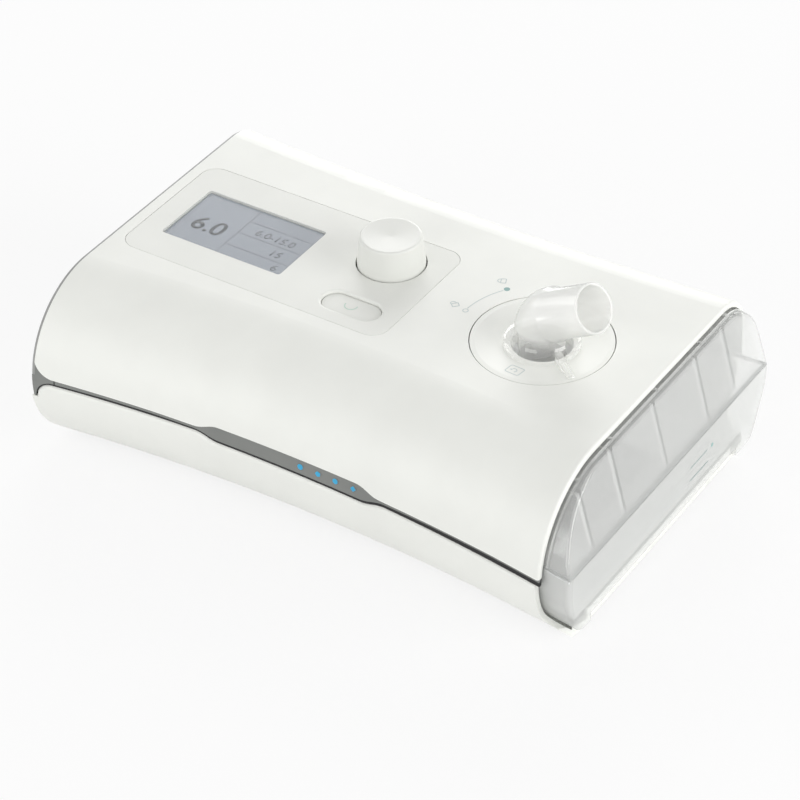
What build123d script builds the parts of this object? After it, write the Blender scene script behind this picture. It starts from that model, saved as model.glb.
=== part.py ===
from build123d import *
import math
import os

# Bedside breathing-therapy machine with a slide-out humidifier tank.
# Millimetres, +X towards the tank, -Y the front, +Z up.
# Origin: on the table, at the middle of the length and depth of the casing.

# ---------------------------------------------------------------- driving dimensions
length = 274.0            # left end cap to the tank's outer face
half = length / 2
top_z = 80.0              # flat top of the casing above the table
foot_height = 2.0
front_end = -90.0         # front of the nose at either end
back_end = 90.0
front_waist = 9.5         # how far the front draws in at mid length
back_waist = 5.0
nose_radius = 44.0
nose_low_radius = 8.5     # edge between the nose and the base
back_crest_z = 34.0       # height where the back stands out furthest
back_foot_in = 15.0       # how far the back's foot and its top edge lie inside that
back_top_in = 3.0
back_rounds = (18.0, 30.0, 22.0)
wall = 2.5
parting_z = 39.5          # split between the upper and lower shells
rim_x = 123.5             # open right end of the upper shell
rim_round = 1.2
cap_thickness = 2.2
cap_inset = 0.6
cap_round = 1.5
tray_x = 134.5            # end of the tray lip under the tank
lip_y = (-66.0, 58.0)     # raised middle of the lip
lip_z = (9.2, 13.5)
floor_z = foot_height + wall

# heights of the slot between the shells, as (x, z) along the front
trim_top = ((-126.0, 41.5), (-76.0, 42.0), (-54.0, 42.0), (-41.0, 45.0), (29.0, 44.8), (42.0, 41.4), (68.0, 41.0),
            (99.0, 40.5), (126.0, 39.7))
trim_low = ((-126.0, 38.1), (-100.0, 38.7), (-76.0, 39.1), (-54.0, 39.3), (-41.0, 36.6), (31.0, 35.7), (44.0, 38.1),
            (68.0, 37.6), (99.0, 36.8), (126.0, 36.0))
strip_low = ((-126.0, 39.2), (-100.0, 40.0), (-76.0, 40.4), (-54.0, 40.4), (-41.0, 38.0), (31.0, 37.2), (44.0, 39.8),
             (68.0, 39.8), (99.0, 39.3), (126.0, 38.5))
step_height = 1.0         # a rise above this is a soft step, not a slope
trim_recess = 0.5
trim_end_in = 0.8         # the strip stops this far inside the left end
trim_back = 1.7           # back of the strip, where the dark seal begins
seal_recess = 0.9         # the seal comes forward below the strip
trim_depth_y = -71.0      # how far back the slot reaches
trim_joint_x = (-125.4, -124.8)
trim_low_corner = (-135.2, 30.0)
trim_high_corner = 48.0
shell_round = 2.0         # soft upper edge of the lower shell
lights_x = (0.9, 10.0, 18.9, 28.1)
lights_z = 41.2
light_size = (3.6, 3.1)

panel_box = (-129.4, 9.1, -30.2, 41.0)
panel_corner = 8.0
panel_z = 78.0            # seat of the control panel in the roof
panel_gap = 0.12
panel_round = 0.35
display_box = (-117.2, -54.2, -13.2, 23.6)
window_ledge = 0.5        # the window's seat, round the opening for the display
window_z = 79.0
knob_center = (-17.0, 20.2)
knob_radius = 15.3
knob_height = 14.5
knob_sink = 2.4
shaft_radius = 3.0
running_fit = 0.06        # radial, between a shaft and its bearing
button_center = (-14.4, -15.6)
button_size = (29.0, 13.5)
button_gap = 0.25
button_face_z = 78.5
opening_round = 1.3       # soft edge round the button's opening

disc_center = (68.6, 6.1)
disc_radius = 31.0
disc_seat_z = 75.5        # ledge in the roof that carries the disc
disc_low_z = 72.4
hub_radius = 23.4
outlet_radius = 11.0      # 22 mm conical connector size, as used on every breathing hose
outlet_rise = 31.0        # degrees above the table
outlet_yaw = -6.0
outlet_axis_z = 92.5
outlet_reach = 31.1
bend_radius = 12.0
tube_wall = 1.9
mouth_wall = 1.2
cone_start = 8.5
cone_run = 2.0
flange_radius = 16.8
fin_turn = -35.0

tank_gap = 1.1            # between the casing's inside and the tank
tank_start = 22.0
tank_wall = 2.4
tank_low_z = 9.5          # runners either side of the raised lip
tub_floor_z = (13.8, 16.2)
seam_z = 43.0
lid_top = 76.0
lid_low = 71.0            # lowered roof that passes under the outlet
lid_step = 107.0
rake = 8.6                # how far the tank's face leans back at its top
rib_places = (-61.5, -35.0, 0.5, 37.0, 61.0)
bead_x = (125.0, 125.7)   # bead along the lid's outer edge, with pegs behind it
bead_rise = 0.7
crown_round = 1.3
peg_length = 1.7
peg_places = (-60.0, -33.0, 5.0, 43.0, 66.0)
hinge_x = tank_start - 2.6
knuckle_radius = 2.5
pin_radius = 1.2
heater_box = (36.4, 115.6, -41.6, 37.6)
heater_z = (10.8, 13.4)
spring_places = ((46, -32), (46, 28), (106, -32), (106, 28))
bay_wall_x = 14.0
deck_z = (11.2, 13.5)
port_place = (-26.0, 56.0)
port_radius = 8.0

post_places = ((-120, -48), (-120, 58), (4, -44), (4, 54))
post_radius = 4.0
foot_places = ((-112, -52), (-112, 60), (108, -56), (108, 62))
foot_radius = 8.0
board_z = 68.0
board_top = board_z + 1.6
board_posts = ((-121.4, -22.2), (-121.4, 33.0), (2.0, -22.8), (1.4, 33.0))
blower_center = (-48.0, 2.0)
blower_radius = 33.0
chamber_z = (38.0, 54.0)
eye_radius = 11.0
impeller_radius = 26.5
blade_count = 11
motor_shaft_radius = 1.5
muffler_box = (-113.0, -87.0, -36.0, 90.0, 4.5, 66.0)
muffler_wall = 1.8
filter_x = (-113.0, -87.0)
filter_z = (10.0, 38.0)
port_bay = (-68.0, -12.0, 12.5, 33.0)
port_wall_y = 72.0        # back wall of the recess that holds the sockets
io_board_z = (16.0, 17.6)
card_box = (-62.0, -38.0, 42.5, 74.5, 20.0, 22.1)
socket_x = -24.0
socket_z = 23.2
socket_radius = 5.0

os.makedirs("parts", exist_ok=True)


# ---------------------------------------------------------------- small helpers
def block(x0, x1, y0, y1, z0, z1):
    return Pos((x0 + x1) / 2, (y0 + y1) / 2, (z0 + z1) / 2) * Box(x1 - x0, y1 - y0, z1 - z0)


def post(x, y, z0, z1, r):
    return Pos(x, y, (z0 + z1) / 2) * Cylinder(r, z1 - z0)


def bar_x(x0, x1, y, z, r):
    return Pos((x0 + x1) / 2, y, z) * Rot(0, 90, 0) * Cylinder(r, x1 - x0)


def bar_y(x, y0, y1, z, r):
    return Pos(x, (y0 + y1) / 2, z) * Rot(90, 0, 0) * Cylinder(r, y1 - y0)


def ring(x, y, z0, z1, outer, inner):
    return post(x, y, z0, z1, outer) - post(x, y, z0 - 1, z1 + 1, inner)


def slab(x0, x1, y0, y1, z0, z1, corner):
    outline = RectangleRounded(x1 - x0, y1 - y0, corner)
    return extrude(Pos((x0 + x1) / 2, (y0 + y1) / 2, z0) * outline, z1 - z0)


def pill(x, y, z0, z1, long, wide):
    return extrude(Pos(x, y, z0) * SlotOverall(long, wide), z1 - z0)


# ---------------------------------------------------------------- the casing's form
# Front and back are surfaces of revolution about far vertical axes, so the body is
# waisted in plan while its rounded section stays the same along the length.
def waist_radius(waist):
    return (half ** 2 + waist ** 2) / (2 * waist)


def turned(face, axis_y, sweep=18.0):
    axis = Axis((0, axis_y, 0), (0, 0, 1))
    return revolve(face, axis, sweep).rotate(axis, -sweep / 2)


def nose_face(inset):
    base_z = foot_height + inset
    big = nose_radius - inset
    small = nose_low_radius - inset
    far = back_end + 30
    mid_y = front_end + front_waist + nose_radius
    mid_z = top_z - nose_radius
    run = math.sqrt((big - small) ** 2 - (mid_z - base_z - small) ** 2)
    small_y = mid_y - run
    reach = big / (big - small)
    touch = (mid_y + (small_y - mid_y) * reach, mid_z + (base_z + small - mid_z) * reach)
    half_turn = math.radians(45)
    low = math.radians(-100)
    outline = [
        Line((far, base_z), (far, mid_z + big)),
        Line((far, mid_z + big), (mid_y, mid_z + big)),
        ThreePointArc((mid_y, mid_z + big), (mid_y - big * math.cos(half_turn), mid_z + big * math.sin(half_turn)),
                      touch),
        ThreePointArc(touch, (small_y + small * math.cos(math.radians(250)),
                              base_z + small + small * math.sin(low)), (small_y, base_z)),
        Line((small_y, base_z), (far, base_z)),
    ]
    return Plane.YZ * make_face(Wire(outline))


def back_face(inset):
    shift = back_end - back_waist
    near = -140.0
    outline = Polyline((near, foot_height), (shift - back_foot_in, foot_height), (shift, back_crest_z),
                       (shift - back_top_in, top_z), (near, top_z), close=True)
    face = make_face(outline)
    corners = face.vertices().filter_by(lambda v: v.X > 0).sort_by(Axis.Y)
    face = fillet(corners[0], back_rounds[0])
    crest = face.vertices().filter_by(lambda v: v.X > 0 and abs(v.Y - back_crest_z) < 0.5)
    face = fillet(crest, back_rounds[1])
    face = fillet(face.vertices().filter_by(lambda v: v.X > 0).sort_by(Axis.Y)[-1], back_rounds[2])
    if inset:
        face = offset(face, -inset, kind=Kind.INTERSECTION)
    return Plane.YZ * face


def casing_form(inset, x0, x1):
    front_axis = front_end + front_waist - waist_radius(front_waist)
    back_axis = back_end - back_waist + waist_radius(back_waist)
    front = turned(nose_face(inset), front_axis)
    back = turned(back_face(inset), back_axis, 12.0)
    return front & back & block(x0, x1, -150, 150, -5, 100)


# ---------------------------------------------------------------- casing
def side_cut(face, y0, y1):
    """Extrude an outline drawn in X and Z from y0 to y1."""
    return extrude(Plane((0, y1, 0), x_dir=(1, 0, 0), z_dir=(0, -1, 0)) * face, y1 - y0, dir=(0, -1, 0))


def trim_edge(points):
    edges = []
    for near, far in zip(points, points[1:]):
        if abs(far[1] - near[1]) > step_height:
            edges.append(Spline([near, far], tangents=[(1, 0), (1, 0)]))
        else:
            edges.append(Line(near, far))
    return edges


def trim_tool(low_points):
    """The slot between the shells, wider where the lights are and rounded open at the left corners."""
    turn_x, high_z = trim_top[0]
    low_z = low_points[0][1]
    start = -half - 1
    seam_x = -half + cap_thickness
    side_x, side_z = trim_low_corner
    seam_top = trim_high_corner
    lift = (low_z - trim_low[0][1]) * 0.6
    corner = [
        ThreePointArc((turn_x, high_z), (-131.2, 43.4), (seam_x, seam_top)),
        Line((seam_x, seam_top), (seam_x, high_z)),
        Line((seam_x, high_z), (start, high_z)),
        Line((start, high_z), (start, side_z)),
        Line((start, side_z), (side_x, side_z)),
        ThreePointArc((side_x, side_z), (-132.5, 35.7 + lift), (turn_x, low_z)),
    ]
    close = [Line(low_points[-1], trim_top[-1])]
    outline = make_face(trim_edge(trim_top) + trim_edge(low_points) + corner + close)
    return side_cut(outline, -120, trim_depth_y)


def upper_shell():
    x0 = -half + cap_thickness
    shell = casing_form(0, x0, rim_x) - casing_form(wall, x0 - 5, rim_x + 5)
    shell -= block(-200, 200, -200, 200, -5, parting_z)
    shell -= trim_tool(trim_low)
    groove = casing_form(-1, -200, rim_x + 5) - casing_form(0.8, -200, 200)
    shell -= groove & block(-200, 200, -50, 200, parting_z, parting_z + 0.5)
    px0, px1, py0, py1 = panel_box
    shell += slab(px0 - 3, px1 + 3, py0 - 3, py1 + 3, panel_z - 2, panel_z, panel_corner)
    shell -= slab(px0 + 4, px1 - 4, py0 + 4, py1 - 4, 70, 90, panel_corner - 3)
    gap = panel_gap
    shell -= slab(px0 - gap, px1 + gap, py0 - gap, py1 + gap, panel_z, 90, panel_corner + gap)
    dx, dy = disc_center
    shell += post(dx, dy, disc_seat_z - 1.5, panel_z, disc_radius + 4.5)
    shell -= post(dx, dy, disc_seat_z, 90, disc_radius + 0.45)
    shell -= post(dx, dy, 70, 90, hub_radius + 0.6)
    inside = casing_form(0.5, x0, rim_x)
    for x, y in post_places:
        shell += inside & post(x, y, parting_z, top_z - 1, post_radius)
        shell -= post(x, y, parting_z - 1, 60, 1.5)
    skin = casing_form(1.0, 0, rim_x + 5)
    rim = shell.edges().filter_by(lambda e: e.bounding_box().min.X > rim_x - 0.01 and e.length > 15)
    return fillet(rim.filter_by(lambda e: not skin.is_inside(e.center())), rim_round)


def lower_shell():
    form = casing_form(0, -half, tray_x) & block(-200, 200, -200, 200, 0, parting_z)
    ends = RectangleRounded(half + tray_x, 100, 6)
    form = form & side_cut(Pos((tray_x - half) / 2, foot_height + 50) * ends, -150, 150)
    shell = form - casing_form(wall, -half + wall, tray_x - wall)
    shell -= trim_tool(trim_low)
    rim = Polyline((160, 60), (110, 60), (110, parting_z), (122, parting_z), (122, 9), (160, 9), close=True)
    rim = make_face(rim)
    rim = fillet(rim.vertices().sort_by_distance((122, 9)).first, 8)
    rim = fillet(rim.vertices().sort_by_distance((122, parting_z)).first, 6)
    shell -= side_cut(rim, -150, 150)
    skin = casing_form(1.0, -half, tray_x)
    edge = shell.edges().filter_by(lambda e: e.center().Y < -60 and 30 < e.center().Z < parting_z - 0.1)
    edge = edge.filter_by(lambda e: e.length > 4 and not skin.is_inside(e.center()))
    shell = fillet(edge, shell_round)
    shell += slab(tray_x - wall, tray_x, lip_y[0], lip_y[1], lip_z[0] - 1.2, lip_z[1], 1.0)
    corners = block(120, 140, -150, 150, 0, lip_z[0]) - slab(0, tray_x, -81, 79, 0, lip_z[0] + 1, 14)
    shell -= corners
    for x, y in post_places:
        shell += post(x, y, foot_height + 1, parting_z, post_radius)
        shell -= post(x, y, 0, 28, 2.9)
        shell -= post(x, y, 0, 50, 1.6)
    for x in (-58, -22):
        shell += post(x, 54, foot_height + 1, io_board_z[0], 3.0)
    px0, px1, pz0, pz1 = port_bay
    pocket = block(px0 - 2, px1 + 2, port_wall_y - 2, 100, pz0 - 2, pz1 + 2)
    shell += pocket & casing_form(0.2, -half, rim_x)
    shell -= block(px0, px1, port_wall_y, 120, pz0, pz1)
    fx0, fx1 = filter_x
    fz0, fz1 = filter_z
    recess = casing_form(-1, -200, 200) - casing_form(1.8, -200, 200)
    shell -= recess & block(fx0 - 0.3, fx1 + 0.3, 60, 120, fz0 - 0.3, fz1 + 0.3)
    shell -= block(fx0 + 3, fx1 - 3, 60, 120, fz0 + 3, fz1 - 3)
    shell -= block(card_box[0] - 0.6, card_box[1] + 0.6, 60, 90, card_box[4] - 0.5, card_box[5] + 0.5)
    shell -= bar_y(socket_x, 60, 90, socket_z, socket_radius + 0.2)
    return shell


def left_end_cap():
    x0 = -half
    plate = casing_form(cap_inset, x0, x0 + cap_thickness) & block(-200, 200, -200, 200, parting_z, 100)
    outer = plate.edges().filter_by(lambda e: abs(e.bounding_box().max.X - x0) < 0.01)
    outer = outer.filter_by(lambda e: e.center().Z > parting_z + 0.5)
    plate = fillet(outer, cap_round)
    flange = casing_form(wall + 0.1, x0 + cap_thickness, x0 + cap_thickness + 3)
    flange -= casing_form(wall + 2, x0, x0 + 10)
    plate += flange & block(-200, 200, -200, 200, 46, 75.5)
    return plate - trim_tool(trim_low)


def front_trim():
    strip = casing_form(trim_recess, -half + trim_end_in, rim_x) - casing_form(trim_back, -half + trim_back, rim_x + 5)
    strip = strip & trim_tool(strip_low)
    strip -= block(trim_joint_x[0], trim_joint_x[1], -120, trim_depth_y, 35, 50)
    for light in indicator_lights():
        strip -= light
    return strip


def trim_seal():
    """Dark rubber that closes the slot behind the strip and shows as a black line under it."""
    seal = casing_form(seal_recess, -half + trim_back, rim_x) - casing_form(wall, -half + wall, rim_x + 5)
    strip_band = casing_form(-1, -200, 200) - casing_form(trim_back, -200, 200)
    seal -= strip_band & trim_tool(strip_low)
    seal = seal & trim_tool(trim_low)
    for light in indicator_lights():
        seal -= light
    return seal


def indicator_lights():
    skin = casing_form(trim_recess - 0.1, -half, rim_x) - casing_form(wall, -half, rim_x + 5)
    lights = []
    for x in lights_x:
        lights.append(skin & side_cut(Pos(x, lights_z) * SlotOverall(*light_size), -100, -60))
    return lights


def control_panel():
    px0, px1, py0, py1 = panel_box
    panel = slab(px0, px1, py0, py1, panel_z, top_z, panel_corner)
    panel = fillet(panel.edges().group_by(Axis.Z)[-1], panel_round)
    wx0, wx1, wy0, wy1 = display_box
    edge = window_ledge
    panel -= slab(wx0 - edge, wx1 + edge, wy0 - edge, wy1 + edge, window_z, 90, 1.5)
    panel -= slab(wx0 - 0.1, wx1 + 0.1, wy0 - 0.1, wy1 + 0.1, 70, 90, 0.7)
    kx, ky = knob_center
    panel -= post(kx, ky, 70, 90, knob_radius + 0.6)
    bx, by = button_center
    panel -= pill(bx, by, 70, 90, button_size[0], button_size[1])
    edge = panel.edges().filter_by(lambda e: abs(e.center().Z - top_z) < 0.01)
    edge = edge.filter_by(lambda e: abs(e.center().X - bx) < 15 and abs(e.center().Y - by) < 8)
    panel = fillet(edge, opening_round)
    for x, y in board_posts:
        panel += post(x, y, board_top, panel_z + 0.5, 2.2)
    return panel


def display_window():
    wx0, wx1, wy0, wy1 = display_box
    edge = window_ledge - 0.1
    return slab(wx0 - edge, wx1 + edge, wy0 - edge, wy1 + edge, window_z, top_z, 1.4)


def display_module():
    wx0, wx1, wy0, wy1 = display_box
    glass = slab(wx0, wx1, wy0, wy1, 74.5, window_z - 0.1, 0.6)
    frame = slab(wx0 - 1, wx1 + 1, wy0 - 1, wy1 + 1, board_top, 74.5, 1.0)
    return glass + frame


def feet():
    blanks = [post(x, y, 0, foot_height, foot_radius) for x, y in foot_places]
    return [chamfer(foot.edges().group_by(Axis.Z)[0], 0.5) for foot in blanks]


def case_screws():
    screws = []
    for x, y in post_places:
        screw = post(x, y, 28, 58, 1.45) + post(x, y, 25.4, 28, 2.7)
        screw -= post(x, y, 25, 26.6, 1.3)
        screws.append(screw)
    return screws


# ---------------------------------------------------------------- controls
def knob():
    kx, ky = knob_center
    base = top_z - knob_sink
    crown = top_z + knob_height
    profile = make_face(Polyline((0, base), (knob_radius, base), (knob_radius, top_z + 1.0),
                                 (knob_radius - 1.5, crown), (0, crown - 0.9), close=True))
    edge = profile.vertices().sort_by_distance((knob_radius - 1.5, crown)).first
    profile = fillet(edge, 1.1)
    cap = Pos(kx, ky, 0) * revolve(Plane.XZ * profile, Axis.Z)
    cap -= ring(kx, ky, base - 1, crown - 3.2, knob_radius - 2.4, 5.0)
    cap -= post(kx, ky, base - 1, top_z + 3, knob_radius - 3)
    return cap - post(kx, ky, base - 1, crown - 4, shaft_radius)


def encoder_shaft():
    kx, ky = knob_center
    return post(kx, ky, board_z + 3.2, top_z + knob_height - 4, shaft_radius)


def encoder_rotor():
    kx, ky = knob_center
    rotor = post(kx, ky, board_z + 2.2, board_z + 4.6, 5.0)
    for spot in PolarLocations(4.6, 12):
        rotor -= Pos(kx, ky, board_z + 4.2) * spot * Box(0.6, 0.6, 1.2)
    return rotor - post(kx, ky, board_z, board_z + 10, shaft_radius + running_fit)


def encoder_body():
    kx, ky = knob_center
    base = board_top
    body = slab(kx - 6.2, kx + 6.2, ky - 6.2, ky + 6.2, base, base + 6, 0.8)
    body += post(kx, ky, base + 5, top_z - 1.5, 4.4)
    body -= post(kx, ky, base + 0.3, base + 3.4, 5.3)
    return body - post(kx, ky, base + 0.3, 90, shaft_radius + running_fit)


def confirm_button():
    bx, by = button_center
    long, wide = button_size
    flange_z = panel_z - 0.25
    cap = pill(bx, by, flange_z - 0.5, button_face_z, long - 2 * button_gap, wide - 2 * button_gap)
    cap = fillet(cap.edges().group_by(Axis.Z)[-1], 0.25)
    flange = pill(bx, by, flange_z - 1.3, flange_z, long + 2.2, wide + 2.2)
    stem = post(bx, by, panel_z - 3.1, flange_z - 0.5, 2.0)
    return cap + flange + stem


def button_switch():
    bx, by = button_center
    base = board_top
    return slab(bx - 3, bx + 3, by - 3, by + 3, base, base + 3.3, 0.4) + post(bx, by, base + 3, base + 4.1, 1.7)


def main_board():
    board = slab(-126, 6, -27, 38, board_z, board_top, 2)
    for x, y in board_posts:
        board -= post(x, y, board_z - 1, board_z + 3, 1.2)
    return board


def board_chips():
    top = board_top
    chips = [slab(-46, -34, -20, -8, top, top + 1.4, 0.3), slab(-46, -39, 8, 15, top, top + 1.2, 0.3)]
    for x in (-30, -37):
        chips.append(post(x, 30, top, top + 5, 2.5))
    return chips


def pressure_sensor():
    body = slab(-6, 4, 2, 12, board_top, board_top + 4, 0.5)
    for x in (-3.5, 1.5):
        body += post(x, 7, board_top + 3.4, board_top + 7, 1.2)
    return body


def io_board():
    return block(-66, -14, 40, port_wall_y - 2, io_board_z[0], io_board_z[1])


def power_socket():
    face_y = port_wall_y + 1.5
    body = block(socket_x - 5.5, socket_x + 5.5, port_wall_y - 14, port_wall_y - 2, io_board_z[1], socket_z + 5.4)
    body += bar_y(socket_x, port_wall_y - 3, face_y, socket_z, socket_radius)
    body -= bar_y(socket_x, port_wall_y - 9, face_y + 1, socket_z, 3.1)
    return body + bar_y(socket_x, port_wall_y - 10, face_y - 1.5, socket_z, 1.0)


def card_socket():
    x0, x1, y0, y1, z0, z1 = card_box
    body = block(x0 - 1.5, x1 + 1.5, y0 - 2, port_wall_y - 2, io_board_z[1], z1 + 1.5)
    return body - block(x0 - 0.3, x1 + 0.3, y0 - 0.3, 90, z0 - 0.3, z1 + 0.3)


def memory_card():
    x0, x1, y0, y1, z0, z1 = card_box
    card = slab(x0, x1, y0, y1, z0, z1, 1.0)
    return card - Pos(x0, y0, z0 + 1) * Rot(0, 0, 45) * Box(5.6, 5.6, 10)


# ---------------------------------------------------------------- air path
def filter_cover():
    fx0, fx1 = filter_x
    fz0, fz1 = filter_z
    cover = casing_form(0, -200, 200) - casing_form(1.5, -200, 200)
    cover = cover & block(fx0, fx1, 60, 120, fz0, fz1)
    for step in range(6):
        z = fz0 + 5.5 + step * 3.4
        slot = Pos((fx0 + fx1) / 2, z) * SlotOverall(19, 1.6)
        cover -= side_cut(slot, 60, 120)
    return cover


def air_filter():
    return block(filter_x[0] + 2, filter_x[1] - 2, 62, 70, filter_z[0] + 2, filter_z[1] - 2)


def intake_muffler():
    x0, x1, y0, y1, z0, z1 = muffler_box
    bx, by = blower_center
    t = muffler_wall
    body = block(x0, x1, y0, 60, z0, z1) + block(x0, x1, 59, y1, filter_z[0], filter_z[1])
    body = body & casing_form(wall, -half, rim_x)
    lid_z = chamber_z[1] + 2
    body += slab(x0 + 5, bx + 16, by - 16, by + 16, lid_z, z1, 4)
    hollow = block(x0 + t, x1 - t, y0 + t, 60 - t, z0 + t, z1 - t)
    hollow += block(x0 + t, x1 - t, 50, y1 + 15, filter_z[0] + t, filter_z[1] - t)
    hollow += slab(x0 + 5, bx + 16 - t, by - 16 + t, by + 16 - t, lid_z + t, z1 - t, 3)
    return body - hollow - post(bx, by, 50, 60, eye_radius)


def sound_foam():
    x0, x1, y0, y1, z0, z1 = muffler_box
    t = muffler_wall
    lower = block(x0 + t, x1 - t, y0 + t, 20, z0 + t, 40)
    upper = block(x0 + t, x1 - t, 30, 60 - t, 44, z1 - t)
    return [lower, upper]


def blower_housing():
    bx, by = blower_center
    z0, z1 = chamber_z
    py = port_place[0]
    mid = (z0 + z1) / 2
    body = post(bx, by, z0, z1, blower_radius) + bar_x(bx, -12, py, mid, port_radius)
    body += block(bx, bx + 22, py - port_radius, by, z0, z1)
    body -= post(bx, by, z0 + 2, z1 + 1, blower_radius - 2.5)
    body -= bar_x(bx, -5, py, mid, port_radius - 1.7)
    body -= post(bx, by, z0 - 1, z1, 3)
    return body


def blower_cover():
    bx, by = blower_center
    z1 = chamber_z[1]
    return ring(bx, by, z1, z1 + 2, blower_radius, eye_radius)


def impeller():
    bx, by = blower_center
    z0 = chamber_z[0] + 3.0
    wheel = post(bx, by, z0, z0 + 1.2, impeller_radius) + post(bx, by, z0, z0 + 9, 4.5)
    arc = ThreePointArc((7, 0), (17, 5.5), (impeller_radius - 0.5, 3))
    for turn in range(blade_count):
        path = arc.rotate(Axis.Z, turn * 360 / blade_count)
        blade = Face.make_rect(1.0, 8.0, Plane(path @ 0, x_dir=(path % 0).cross(Vector(0, 0, 1)), z_dir=path % 0))
        blade = sweep(blade, path)
        wheel += Pos(bx, by, z0 + 4.6) * blade
    cone = revolve(Plane.XZ * make_face(Polyline((8, 9), (40, 3.5), (40, 20), (8, 20), close=True)), Axis.Z)
    wheel -= Pos(bx, by, z0) * cone
    return wheel - post(bx, by, 0, 100, motor_shaft_radius)


def motor():
    bx, by = blower_center
    can = post(bx, by, 13, chamber_z[0], 17)
    can = chamfer(can.edges().group_by(Axis.Z)[0], 1.5)
    return can - post(bx, by, 18, 40, motor_shaft_radius + running_fit)


def motor_shaft():
    bx, by = blower_center
    return post(bx, by, 20, 49, motor_shaft_radius)


def blower_mounts():
    bx, by = blower_center
    tall = 13 - floor_z
    waist = Polyline((0, 0), (3.6, 0), (3.6, 2.6), (2.6, 3.6), (2.6, tall - 3.6), (3.6, tall - 2.6), (3.6, tall),
                     (0, tall), close=True)
    stack = revolve(Plane.XZ * make_face(waist), Axis.Z)
    return [Pos(bx, by, floor_z) * spot * stack for spot in PolarLocations(11, 3)]


def duct_end(x, y, z, radius):
    return (Plane((x, y, z), x_dir=(0, 1, 0), z_dir=(1, 0, 0)) * Circle(radius)).face()


def air_duct():
    py, pz = port_place
    start = sum(chamber_z) / 2
    outer = port_radius + 1.6
    near, far = -11, 5
    duct = bar_x(near - 9, near, py, start, outer) + bar_x(far, bay_wall_x, py, pz, outer)
    duct += loft([duct_end(near, py, start, outer), duct_end(far, py, pz, outer)])
    duct -= bar_x(near - 10, near - 1, py, start, port_radius)
    duct -= loft([duct_end(near - 1, py, start, port_radius), duct_end(far, py, pz, port_radius)])
    return duct - bar_x(far, bay_wall_x + 1, py, pz, port_radius)


def port_seal():
    py, pz = port_place
    x0 = bay_wall_x + 2.5
    seal = bar_x(x0, x0 + 2.6, py, pz, 12.5) + bar_x(x0, tank_start - 0.4, py, pz, 10.6)
    return seal - bar_x(x0 - 1, tank_start, py, pz, port_radius + 0.4)


# ---------------------------------------------------------------- outlet
def outlet_direction():
    rise = math.radians(outlet_rise)
    yaw = math.radians(outlet_yaw)
    return Vector(math.cos(rise) * math.cos(yaw), math.cos(rise) * math.sin(yaw), math.sin(rise))


def outlet_disc():
    dx, dy = disc_center
    edge_z = top_z - 0.2
    well_z = top_z - 1.6      # the disc is slightly dished towards the elbow
    profile = Polyline((13.5, disc_low_z), (13.5, well_z), (17.4, well_z), (28.8, edge_z), (disc_radius, edge_z),
                       (disc_radius, disc_seat_z), (hub_radius, disc_seat_z), (hub_radius, disc_low_z), close=True)
    return Pos(dx, dy, 0) * revolve(Plane.XZ * make_face(profile), Axis.Z)


def disc_clip():
    dx, dy = disc_center
    return ring(dx, dy, disc_low_z, disc_low_z + 1.3, hub_radius + 5.1, hub_radius)


def slanted(radius, start, end):
    dx, dy = disc_center
    way = outlet_direction()
    origin = Vector(dx, dy, outlet_axis_z) + way * start
    return extrude(Plane(origin, z_dir=way) * Circle(radius), end - start)


def bend(radius, low, end):
    """Upright tube joined to the slanted one by a mitre across the bend."""
    dx, dy = disc_center
    way = outlet_direction()
    middle = Vector(dx, dy, outlet_axis_z)
    mitre = Plane(middle, z_dir=(way + Vector(0, 0, 1)).normalized())
    beyond = extrude(mitre * Rectangle(300, 300), 200)
    upright = post(dx, dy, low, 140, radius) - beyond
    return upright + (slanted(radius, -60, end) & beyond)


def outlet_elbow():
    dx, dy = disc_center
    way = outlet_direction()
    origin = Vector(dx, dy, outlet_axis_z)
    seat_z = top_z - 1.6
    flange_z = top_z + 0.4
    bell_z = flange_z + 4.0
    body = bend(bend_radius, top_z - 1, cone_start)
    cone = loft([(Plane(origin + way * cone_start, z_dir=way) * Circle(bend_radius)).face(),
                 (Plane(origin + way * (cone_start + cone_run), z_dir=way) * Circle(outlet_radius)).face()])
    body += cone + slanted(outlet_radius, cone_start + cone_run, outlet_reach)
    body += post(dx, dy, seat_z, flange_z, flange_radius) + post(dx, dy, disc_low_z, top_z - 1, 13.2)
    bell = make_face([Line((11, flange_z), (15.6, flange_z)), Line((11, bell_z), (11, flange_z)),
                      Line((bend_radius, bell_z), (11, bell_z)),
                      ThreePointArc((15.6, flange_z), (13.4, flange_z + 1.4), (bend_radius, bell_z))])
    body += Pos(dx, dy, 0) * revolve(Plane.XZ * bell, Axis.Z)
    fin_low = top_z - 0.4
    fin = make_face(Polyline((11.5, fin_low), (29.8, fin_low + 0.6), (29.8, fin_low + 1.3), (16.5, fin_low + 6.0),
                             (11.5, fin_low + 6.8), close=True))
    body += Pos(dx, dy, 0) * Rot(0, 0, fin_turn) * extrude(Plane.XZ * fin, 1.2, both=True)
    body -= bend(bend_radius - tube_wall, 70.0, cone_start)
    return body - slanted(outlet_radius - mouth_wall, 4, outlet_reach + 5)


def elbow_seal():
    dx, dy = disc_center
    return ring(dx, dy, disc_low_z - 0.8, disc_low_z, 16.5, 10.6)


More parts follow.
